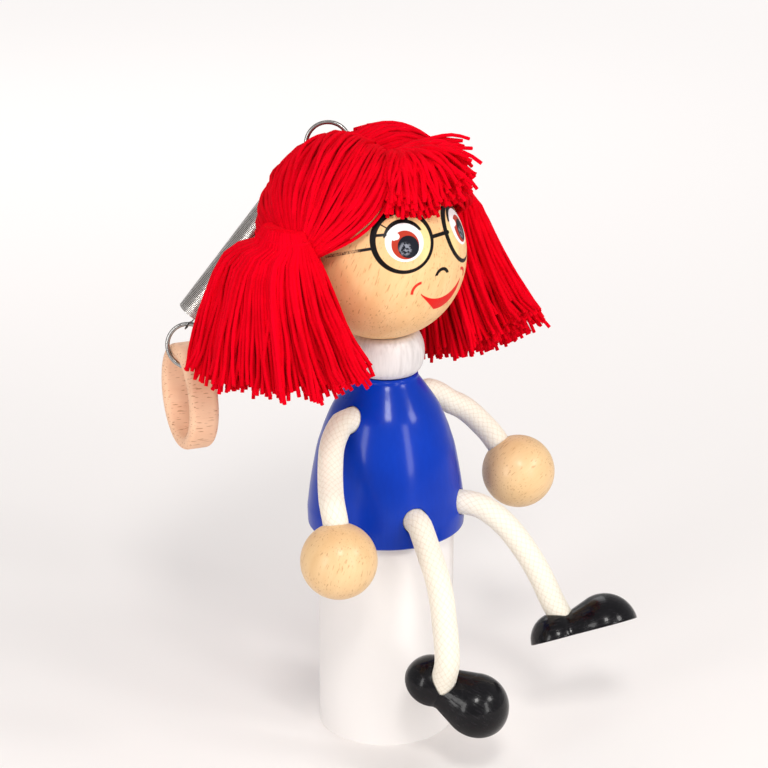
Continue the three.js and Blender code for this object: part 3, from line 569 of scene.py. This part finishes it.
# ---------------------------------------------------------------- hands
# Beech balls of 25 mm, each drilled for its arm's rope.
hand_radius = 12.7
for side, centre, entry, grain in (
    ("right", (-48, -22.5, 7.2), (0.2, 0.3, 0.93), (0.3, -0.2, 1)),
    ("left", (41.5, -25, 12.7), (-0.188, 0.622, 0.76), (0.9, -0.3, 0.6)),
):
    ball = bmesh.new()
    bmesh.ops.create_uvsphere(ball, u_segments=80, v_segments=56, radius=hand_radius / 1000,
                              matrix=Matrix.Translation(Vector(centre) / 1000))
    hand = piece_from(ball, side + "_hand_ball")
    mouth = Vector(centre) + Vector(entry).normalized() * hand_radius
    drill(hand, [(mouth, entry, 9.3, 4.6)])
    hand_wood, hand_colour = beech(side + " hand beech", grain, linear(240, 205, 155), linear(228, 186, 133),
                                   linear(190, 140, 92), 0.6, Roughness=0.42, Coat_Weight=0.2, Coat_Roughness=0.2)
    hand_wood.feed("Base Color", hand_colour)
    hand_wood.on(hand)
    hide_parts(side + "_hand")
    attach(hand, side + "_hand_ball")

# ---------------------------------------------------------------- shoes
# A peanut turned about its long line and sawn in half: the flat is the sole. Gloss black paint lets the
# open grain show. The rope goes in behind the waist.
toe_radius, heel_radius, lobe_distance = 11.4, 9.2, 17.0
shoe_outline = [(0, 0)]
for step in range(1, 15):
    angle = math.radians(118) * step / 14
    shoe_outline.append((heel_radius * math.sin(angle), heel_radius * (1 - math.cos(angle))))
shoe_outline += [(8.02, 13.6), (7.95, 14.9)]
for step in range(20):
    angle = math.radians(66 + 114 * step / 19)
    shoe_outline.append((toe_radius * math.sin(angle), heel_radius + lobe_distance - toe_radius * math.cos(angle)))
shoe_outline[-1] = (0, heel_radius + lobe_distance + toe_radius)
for side, toe, sole_up, ankle, lean in (
    ("right", (0.416, -0.797, -0.438), (-0.322, -0.577, 0.745), (-22.8, -46.8, -35.7), -1),
    ("left", (0.729, -0.644, 0.230), (0.140, 0.469, 0.871), (27, -55.5, -27), 1),
):
    toe = Vector(toe).normalized()
    sole_up = (Vector(sole_up) - toe * toe.dot(Vector(sole_up))).normalized()
    across = sole_up.cross(toe)
    into = (toe * math.tan(math.radians(15)) - sole_up + across * lean * math.tan(math.radians(15.5))).normalized()
    heel_end = Vector(ankle) - toe * 12 - sole_up * 8.8
    shoe_shape = spun([(r / 1000, d / 1000) for r, d in shoe_outline], 96)
    axes = Matrix((across, sole_up, toe)).transposed().to_4x4()
    bmesh.ops.transform(shoe_shape, matrix=Matrix.Translation(heel_end / 1000) @ axes, verts=shoe_shape.verts[:])
    flat = bmesh.ops.bisect_plane(shoe_shape, geom=shoe_shape.verts[:] + shoe_shape.edges[:] + shoe_shape.faces[:],
                                  dist=1e-7, plane_co=heel_end / 1000, plane_no=-sole_up, clear_outer=True)
    rim = [item for item in flat["geom_cut"] if isinstance(item, bmesh.types.BMEdge)]
    bmesh.ops.contextual_create(shoe_shape, geom=rim)
    bmesh.ops.bevel(shoe_shape, geom=rim, offset=0.0004, offset_type="OFFSET", segments=2, profile=0.5,
                    affect="EDGES", material=-1)
    shoe = piece_from(shoe_shape, side + "_black_shoe")
    drill(shoe, [(ankle, -into, 6, 4.6)])
    black = Finish(side + " gloss black paint", Roughness=0.2, Specular_IOR_Level=0.16, Coat_Weight=0.2,
                   Coat_Roughness=0.06)
    turn = toe.to_track_quat("Z", "Y").inverted().to_euler()
    place = black.node("ShaderNodeMapping", {}, {"Vector": black.coordinates(), "Rotation": turn})
    pores = black.noise(place.vector_math("MULTIPLY", (1500, 1500, 240)), 1, 3)
    sheen_patches = black.noise(place, 120, 2)
    black.feed("Base Color", black.mix(pores.above(0.6, 0.3) * 0.5, linear(9, 8, 12), linear(34, 31, 36)))
    black.feed("Roughness", sheen_patches * 0.15 + pores * 0.12 + 0.1)
    black.bump(pores, 0.00016, 0.6)
    black.on(shoe)
    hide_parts(side + "_shoe")
    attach(shoe, side + "_foot")

# ---------------------------------------------------------------- screw eye and split rings
# A steel screw eye of 1.6 mm wire stands behind the crown. A split ring of two turns of flat wire hangs in it,
# and another one joins the spring's lower hook to the wooden ring.
joints = {joint["name"]: joint for joint in frame["joints"]}
chain_axis = Vector(joints["spring_lift"]["axis"]).normalized()
top_ring_middle = Vector(joints["spring_lift"]["pos_m"])
low_ring_middle = Vector(joints["handle_swing"]["pos_m"])
low_hook = Vector(joints["lower_ring_swing"]["pos_m"])
spring_way = Vector(joints["spring_stretch"]["axis"]).normalized()
spring_in = spring_way.cross(chain_axis)


def nickel(name, roughness, dark=(118, 116, 115), light=(188, 186, 184)):
    """Nickelled steel wire, with small dull patches."""
    steel = Finish(name, Metallic=1.0, Roughness=roughness)
    patches = steel.noise(steel.coordinates(), 420, 3)
    steel.feed("Base Color", steel.mix(patches, linear(*dark), linear(*light)))
    steel.feed("Roughness", patches * 0.2 + (roughness - 0.1))
    return steel


def wire(points, radius, name, resolution=3, cyclic=False):
    """Round wire along points in metres, as a mesh."""
    line = bpy.data.curves.new(name, "CURVE")
    line.dimensions = "3D"
    line.bevel_depth = radius
    line.bevel_resolution = resolution
    line.use_fill_caps = True
    line.resolution_u = 1
    for run in points if isinstance(points[0], list) else [points]:
        spline = line.splines.new("POLY")
        spline.points.add(len(run) - 1)
        spline.points.foreach_set("co", [c for p in run for c in (*p, 1.0)])
        spline.use_cyclic_u = cyclic
    drawn = bpy.data.objects.new(name + "_line", line)
    bpy.context.scene.collection.objects.link(drawn)
    bpy.context.view_layer.update()
    mesh = bpy.data.meshes.new_from_object(drawn.evaluated_get(bpy.context.evaluated_depsgraph_get()))
    bpy.data.objects.remove(drawn)
    bpy.data.curves.remove(line)
    mesh.name = name
    mesh.polygons.foreach_set("use_smooth", [True] * len(mesh.polygons))
    piece = bpy.data.objects.new(name, mesh)
    bpy.context.scene.collection.objects.link(piece)
    return piece


eye_reach, eye_radius, screw_depth = 0.0346, 0.0032, 0.0188
eye_from = Vector((0, 0, 0.09644))
eye_out = Vector((0, math.sin(math.radians(40.5)), math.cos(math.radians(40.5))))
eye_middle = eye_from + eye_out * eye_reach
ring_way = (top_ring_middle - eye_middle).normalized().cross(chain_axis)
eye_axis = (ring_way - eye_out * ring_way.dot(eye_out)).normalized()
eye_side = eye_out.cross(eye_axis)
loop = [eye_middle + eye_out * eye_radius * math.cos(a) + eye_side * eye_radius * math.sin(a)
        for a in [math.radians(180 + 14 + k * 344 / 40) for k in range(41)]]
shank = [eye_from + eye_out * (screw_depth + (eye_reach - eye_radius - screw_depth) * k / 6) for k in range(6)]
screw_eye = wire(shank + loop, 0.0008, "screw_eye_wire", 3)
nickel("screw eye steel", 0.3).on(screw_eye)
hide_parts("screw_eye")
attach(screw_eye, "figure")

split_ring_radius, flat_share = 0.0075, 1.9
for name, node, body_name, middle in (
    ("top_split_ring_coil", "top_split_ring", "top_link", top_ring_middle),
    ("lower_split_ring_coil", "lower_split_ring", "lower_link", low_ring_middle),
):
    up_in_plane = (Vector((0, 0, 1)) - chain_axis * chain_axis.z).normalized()
    side_in_plane = chain_axis.cross(up_in_plane)
    turns = []
    for k in range(146):
        angle = math.radians(-20 + 725 * k / 145)
        step_across = max(-1, min(1, (k - 72.5) / 9)) * 0.00039
        turns.append(middle + up_in_plane * split_ring_radius * math.cos(angle)
                     + side_in_plane * split_ring_radius * math.sin(angle) + chain_axis * step_across)
    split_ring = wire(turns, 0.00038, name, 3)
    # The wire is flat: twice as wide towards the ring's middle as across
    thick = bmesh.new()
    thick.from_mesh(split_ring.data)
    for vert in thick.verts:
        offset = vert.co - middle
        flat_part = offset - chain_axis * offset.dot(chain_axis)
        reach = flat_part.length
        vert.co += flat_part * ((split_ring_radius + (reach - split_ring_radius) * flat_share) / reach - 1)
    thick.to_mesh(split_ring.data)
    thick.free()
    nickel(name + " steel", 0.25).on(split_ring)
    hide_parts(node)
    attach(split_ring, body_name)

# ---------------------------------------------------------------- coil spring
# A close-wound extension spring of 0.46 mm wire, 10 mm across and 64 mm long, with a hook at each end.
# It is one wire, wound between its hooks.
coil_radius, coil_length, hook_reach, hook_radius, low_offset = 0.00477, 0.0644, 0.0034, 0.0022, 0.0017
coil_start = low_hook - spring_in * low_offset - spring_way * (hook_reach + coil_length)


def at_spring(along, inward, across):
    """A point by its distances from the coil's upper end: along its axis, inward and across."""
    return coil_start + spring_way * along + spring_in * inward + chain_axis * across


def hook(base, outward, offset, sign):
    """From the coil's end out to the hook's free tip."""
    start_across = math.sqrt(coil_radius**2 - offset**2)
    rise = []
    for share in (0.12, 0.3, 0.5, 0.68):
        rise.append(at_spring(base + outward * hook_reach * share, offset,
                              sign * (start_across + (hook_radius - start_across) * share**1.6)))
    turn = [math.radians(-12 + 232 * k / 18) for k in range(19)]
    return rise + [at_spring(base + outward * (hook_reach + hook_radius * math.sin(a)), offset,
                             sign * hook_radius * math.cos(a)) for a in turn]


coil_turns, spring_wire = 122, 0.00023
first_angle = -math.pi / 2
last_angle = coil_turns * math.tau + math.acos(low_offset / coil_radius)
coil_steps = coil_turns * 18
coil = []
for k in range(coil_steps + 1):
    share = k / coil_steps
    angle = first_angle + share * (last_angle - first_angle)
    coil.append(at_spring(share * coil_length, coil_radius * math.cos(angle), coil_radius * math.sin(angle)))
hooks = hook(0, -1, 0, -1)[::-1], hook(coil_length, 1, low_offset, 1)
spring = wire(hooks[0] + coil + hooks[1], spring_wire, "wound_spring", 3)
# Painted shade in the gaps between the turns: how far each point is from its turn's middle, along the spring
pitch = coil_length * math.tau / (last_angle - first_angle)
gap_shade_levels = []
for vert in spring.data.vertices:
    from_start = vert.co - coil_start
    turned = math.atan2(from_start.dot(chain_axis), from_start.dot(spring_in)) - first_angle
    past = (from_start.dot(spring_way) / pitch - turned / math.tau + 0.5) % 1.0 - 0.5
    gap_shade_levels.append(min(1.0, abs(past) * pitch / spring_wire))
spring.data.attributes.new("painted_gap_shade", "FLOAT", "POINT").data.foreach_set("value", gap_shade_levels)
spring_steel = Finish("spring steel", Metallic=1.0, Roughness=0.3)
dull = spring_steel.noise(spring_steel.coordinates(), 350, 3)
painted_gap_shade = spring_steel.node("ShaderNodeAttribute", {"attribute_name": "painted_gap_shade"}, out="Fac").above(0.52, 0.36)
bright = spring_steel.mix(dull, linear(236, 229, 223), linear(248, 244, 240))
# The wire goes near-black towards the next turns: painted shade between the turns, not a colour of the steel
spring_steel.feed("Base Color", spring_steel.mix(painted_gap_shade, bright, linear(34, 28, 27)))
spring_steel.feed("Roughness", dull * 0.08 + 0.24)
spring_steel.on(spring)
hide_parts("spring")
tuple(at_spring(0.001, 0, 0))
tuple(at_spring(coil_length - 0.001, 0, 0))
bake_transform(spring)

# ---------------------------------------------------------------- wooden ring
# The handle: a bare beech ring, 37 mm across and 10 mm wide, with rounded edges and a flecked face.
# It hangs by its inner wall on the lower split ring. Sizes here are in mm, but for the rounding.
ring_inner, ring_outer, half_width, rounding = 14, 18.5, 5.1, 0.0021
ring_middle = low_ring_middle - (Vector((0, 0, 1)) - chain_axis * chain_axis.z).normalized() * 0.0068 * 0.57
ring_middle -= Vector((0, 0, ring_inner / 1000))
ring_axis = Vector((math.cos(math.radians(153.5)), math.sin(math.radians(153.5)), 0))
section = bmesh.new()
corners = [section.verts.new((x / 1000, 0, z / 1000)) for x, z in (
    (ring_inner, -half_width), (ring_outer, -half_width), (ring_outer, half_width), (ring_inner, half_width))]
section.faces.new(corners)
bmesh.ops.bevel(section, geom=corners, offset=rounding, offset_type="OFFSET", segments=7, profile=0.5,
                affect="VERTICES", material=-1)
outline = section.faces[:]
bmesh.ops.spin(section, geom=section.verts[:] + section.edges[:] + outline, cent=(0, 0, 0), axis=(0, 0, 1),
               angle=math.tau, steps=112, use_merge=True, dvec=(0, 0, 0))
bmesh.ops.delete(section, geom=outline, context="FACES_ONLY")
bmesh.ops.remove_doubles(section, verts=section.verts[:], dist=1e-6)
bmesh.ops.recalc_face_normals(section, faces=section.faces[:])
bmesh.ops.transform(section, matrix=turned_to(ring_middle, ring_axis), verts=section.verts[:])
wooden_ring = piece_from(section, "beech_ring")
ring_wood, ring_colour = beech("bare ring beech", (-0.895, 0.446, 0.06), linear(255, 212, 178), linear(243, 192, 156),
                               linear(190, 132, 98), 0.8, Roughness=0.6, Specular_IOR_Level=0.3)
ring_wood.feed("Base Color", ring_colour)
ring_wood.on(wooden_ring)
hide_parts("wooden_ring")
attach(wooden_ring, "handle")

# ---------------------------------------------------------------- hair
# Thick red yarn, laid from the middle parting to a tie on each side, in three layers over an opaque lining.
# Each strand is a tube along its own line; the front ones bow down over the temple.
chance = random.Random(7)
noise.seed_set(7)
golden_share, layer_share, golden_angle = 0.618034, 0.7548777, 2.399963
# The hair's outline is what two balls near the crown's middle share, with X turned outwards on each side
yarn_radius = 0.00066
crown = Vector((0, 0, 0.0975))
pad_balls = [(0.0355, Vector((0.0050, 0.0055, 0.0065))), (0.0353, Vector((0.0080, 0.0140, 0.0059)))]
tie_place = Vector((0.0405, 0.0080, 0.0105))


def yarn(name, twists):
    """Soft red wool with the plies' twist, each strand in a slightly different shade."""
    wool = Finish(name, Roughness=1.0, Specular_IOR_Level=0.04, Sheen_Weight=0.04, Sheen_Tint=(1, 0.1, 0.1, 1))
    lay = wool.node("ShaderNodeSeparateXYZ", {}, {0: wool.coordinates("UV")})
    length_share = Level(wool, lay.socket.node.outputs[1])
    ply = ((length_share * twists + lay * 2) * math.tau).math("SINE") * 0.5 + 0.5
    wisps = wool.noise(wool.coordinates(), 1400, 3)
    tufts = wool.noise(wool.coordinates(), 170, 3)
    own_shade = wool.node("ShaderNodeNewGeometry", out="Random Per Island")
    shade = (ply * 0.2 + wisps * 0.3 + tufts * 0.5 + own_shade * 0.25).above(0.66, 0.6)
    wool.feed("Base Color", wool.mix(shade, linear(222, 0, 22), linear(255, 0, 34)))
    wool.bump(ply * 0.5 + wisps * 0.7, 0.00025, 0.5)
    return wool


def sway(point, seed, amount, scale=55):
    """A smooth sideways drift of a strand's point, so that strands wander a little."""
    return noise.noise_vector(point * scale + Vector((seed * 3.1, seed * 1.7, seed * 2.3))) * amount


def pad_reach(direction):
    """How far the hair reaches from the crown's middle, towards a direction with X turned outwards."""
    reaches = []
    for radius, centre in pad_balls:
        along = direction.dot(centre)
        reaches.append(along + math.sqrt(along * along + radius * radius - centre.length_squared))
    return min(reaches)


def step_up(value, low, high):
    share = max(0.0, min(1.0, (value - low) / (high - low)))
    return share * share * (3 - 2 * share)


def hair_point(share, along, depth):
    """A point of the hair, from the crown's middle: share runs from the face's edge to the nape, and along from
    the parting to the tie."""
    turn = math.radians(-10 + 121 * share)
    root = Vector((0, math.sin(turn), math.cos(turn))) * 0.0352
    side_sag = (2 * share - 1) ** 2
    neck = tie_place + Vector((-0.0035 * side_sag, -0.0078 * math.cos(math.pi * share), -0.0055 * side_sag))
    middle = (root + neck) * 0.62 + Vector((0.0072, -0.0250, -0.0027)) * max(0.0, 1 - share / 0.42) ** 1.3
    place = root * (1 - along) ** 2 + middle * 2 * along * (1 - along) + neck * along * along
    direction = place.normalized()
    reach = pad_reach(direction) - depth - 0.0020 * (1 - step_up(along, 0.0, 0.14))
    gather = step_up(along, 0.8, 1.0)
    reach = max(reach * (1 - gather) + (neck.length - depth * 0.6) * gather, 0.0302)
    return direction * reach


def off_head(point, room):
    """Lifts a point out of the head's ball, to a distance from its surface."""
    out = point - head_centre
    return head_centre + out.normalized() * max(out.length, head_radius + room)


def clear_of_hanger(point, room=0.0064):
    """Presses a strand's point towards the head, out of the spring, the top ring and the eye."""
    inward = (crown - point).normalized()
    hook_room = 0.0045
    for _ in range(12):
        along = max(0.0, min(coil_length + 0.006, (point - coil_start).dot(spring_way) + hook_room))
        blocked = (point - coil_start - spring_way * (along - hook_room)).length < room
        blocked = blocked or (point - top_ring_middle).length < 0.0098
        blocked = blocked or (point - eye_middle).length < 0.0052
        if not blocked or (point - crown).length < 0.0308:
            break
        point = point + inward * 0.0008
    return point


for side, sign in (("right", -1), ("left", 1)):
    mirror = Vector((sign, 1, 1))
    sunk = 0.0 if side == "right" else 0.0009  # The left half lies a little lower
    runs = []
    for depth, count in ((0.0007, 88), (0.0018, 84), (0.0030, 74)):
        for k in range(count):
            share = (k + 0.5 + chance.uniform(-0.4, 0.4)) / count
            seed = chance.random() * 40
            drift = chance.uniform(-0.012, 0.012)
            lift = chance.uniform(-0.0003, 0.0005)
            run = []
            for step in range(19):
                along = step / 18
                place = hair_point(share + drift * math.sin(math.pi * along), along, depth + lift + sunk)
                place = place * mirror + crown + Vector((sign * 0.0008, 0, 0)) * (1 - along)
                place += sway(place, seed, 0.0016 * math.sin(math.pi * along))
                run.append(off_head(clear_of_hanger(place), 0.0008))
            runs.append(run)
    strands = wire(runs, yarn_radius, side + "_hair_strands", 1)
    lining = bmesh.new()
    bmesh.ops.create_grid(lining, x_segments=30, y_segments=26, size=0.5)
    for vert in lining.verts:
        place = hair_point(0.012 + 0.976 * (vert.co.x + 0.5), 0.985 * (vert.co.y + 0.5), 0.0034 + sunk)
        vert.co = off_head(clear_of_hanger(place * mirror + crown, 0.0068), 0.0004)
    lining_piece = piece_from(lining, side + "_hair_lining")
    whole = bmesh.new()
    for piece in (strands, lining_piece):
        whole.from_mesh(piece.data)
        bpy.data.objects.remove(piece)
    hair = piece_from(whole, side + "_hair_yarn", smooth=False)
    yarn(side + " hair wool", 26).on(hair)
    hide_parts(side + "_hair")
    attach(hair, "figure")


# ---------------------------------------------------------------- ties and pigtails
# Each tie is three turns of the same yarn. Below it the strands puff out in locks, belly back and splay to
# cut ends, which rise to the front.
def pigtail_end(side, y):
    """The depth of the cut ends below the tie, at a place in front of it (minus) or behind it."""
    if side == "right":
        return 0.0440 + 0.095 * y - 0.0030 * step_up(-y, 0.030, 0.043)
    return 0.0570 - 0.0175 * max(0.0, (-y - 0.001) / 0.037) ** 1.5


# A pigtail's full half widths, and the share of them that it has at shares of its length
half_across, half_deep = 0.0205, 0.0370
width_shares = [(-0.09, 0.21), (-0.02, 0.235), (0.03, 0.34), (0.09, 0.45), (0.17, 0.54), (0.3, 0.62), (0.45, 0.7),
                (0.62, 0.81), (0.78, 0.91), (0.92, 0.985), (1.12, 1.03)]
for side, sign, tail_length in (("right", -1, 0.046), ("left", 1, 0.057)):
    tie = crown + tie_place * Vector((sign, 1, 1))
    runs = []
    count = 720
    for k in range(count):
        ring_share = math.sqrt((k + 0.5) / count)
        angle = k * golden_angle
        seed = chance.random() * 40
        stray = 2.2 if chance.random() < 0.04 and ring_share > 0.75 else 1.0
        wander = chance.uniform(0.0012, 0.0034) * stray
        end = pigtail_end(side, 0.038 * ring_share * math.sin(angle) - 0.0045) + chance.uniform(-0.0030, 0.0016)
        end += 0.002 * (1 - ring_share)
        fold = angle * 13 + 2 * math.sin(3 * angle)
        lock = 0.085 * math.cos(fold)
        hollow = 0.085 * math.sin(fold) * ring_share**3
        run = []
        for width_depth, width in width_shares:
            drop = min(width_depth * tail_length, end)
            share = max(0.0, min(1.0, (drop / tail_length - 0.04) / 0.96))
            belly = 0.0055 * math.sin(math.pi * math.sqrt(share))
            turned = angle + lock * min(1.0, 0.25 + share)
            spread = ring_share + hollow * min(1.0, share * 2.5)
            place = tie + Vector((half_across * width * spread * math.cos(turned) + sign * 0.14 * drop,
                                  half_deep * width * spread * math.sin(turned) - 0.10 * drop + belly, -drop))
            place += sway(place, seed, wander * max(0.0, width_depth), 60)
            run.append(off_head(place, 0.0010))
            if drop >= end:
                break
        runs.append([tuple(p) for p in smooth_path([p * 1000 for p in run], 10)])
    pigtail = wire(runs, yarn_radius, side + "_pigtail_yarn", 1)
    yarn(side + " pigtail wool", 18).on(pigtail)
    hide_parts(side + "_pigtail")
    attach(pigtail, "figure")

    loops = []
    for lift in (-0.0011, 0.0, 0.0011):
        loops.append([tie + Vector((0.0055 * math.cos(a), 0.0099 * math.sin(a), lift + 0.0002 * math.sin(3 * a)))
                      for a in [math.tau * k / 48 for k in range(48)]])
    band = wire(loops, 0.0006, side + "_tie_yarn", 2, cyclic=True)
    yarn(side + " tie wool", 30).on(band)
    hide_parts(side + "_hair_tie")
    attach(band, "figure")

# ---------------------------------------------------------------- fringe
# A hank of the same yarn, sewn in at the front of the parting. It fans out forwards, the lower strands lie
# down over the forehead, and all are cut off short.
runs = []
for k in range(520):
    fan = math.radians(-57 + 133 * ((k * golden_share) % 1.0))
    layer = ((k * layer_share) % 1.0) ** 0.8
    seed = chance.random() * 40
    root = crown + Vector((0.0012 * math.sin(fan), -0.0030 - 0.0060 * chance.random(), 0.0338 + 0.0012 * layer))
    outward = Vector((math.sin(fan), -math.cos(fan), 0))
    free = 0.25 + 0.75 * step_up(fan, -0.6, 1.0)
    reach = (0.0172 + 0.0066 * layer * free - 0.0022 * step_up(fan, 0.4, 1.2)) + chance.uniform(-0.0034, 0.0024)
    fall = 0.0144 * (1 - layer * free) + 0.0005 + chance.uniform(-0.001, 0.001)
    run = []
    for step in range(9):
        along = step / 8
        place = root + outward * reach * along**0.92 + Vector((0, 0, 0.0026 * math.sin(math.pi * along) * layer))
        place -= Vector((0, 0, fall * along**1.7)) - sway(place, seed, 0.0054 * along, 70)
        run.append(off_head(place, 0.0010 + 0.0035 * layer * along))
    runs.append(run)
fringe = wire(runs, yarn_radius, "fringe_yarn", 1)
yarn("fringe wool", 12).on(fringe)
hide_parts("fringe")
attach(fringe, "figure")

# ---------------------------------------------------------------- stand and floor
# A pale round post under the body and a pale floor. Neither is part of the doll.
post_radius = 0.0235
post_shape = bmesh.new()
bmesh.ops.create_cone(post_shape, cap_ends=True, segments=96, radius1=post_radius, radius2=post_radius, depth=0.0748,
                      matrix=Matrix.Translation((0, 0, -0.0376)))
post = piece_from(post_shape, "post")
floor_shape = bmesh.new()
bmesh.ops.create_grid(floor_shape, x_segments=1, y_segments=1, size=3.0, matrix=Matrix.Translation((0, 0, -0.075)))
floor = piece_from(floor_shape, "floor")
pale = Finish("pale matt board", Base_Color=linear(240, 236, 234), Roughness=0.9, Emission_Strength=1.0)
# A glow that grows away from the doll and that only the camera sees keeps the far floor from turning grey
from_doll = pale.coordinates().vector_math("LENGTH", out="Value")
seen = pale.node("ShaderNodeLightPath", out="Is Camera Ray")
glow = (from_doll * 0.34).math("MINIMUM", 0.5) * seen
pale.feed("Emission Color", pale.mix(glow, (0, 0, 0, 1), (1.0, 0.985, 0.98, 1)))
for item in (post, floor):
    pale.on(item)
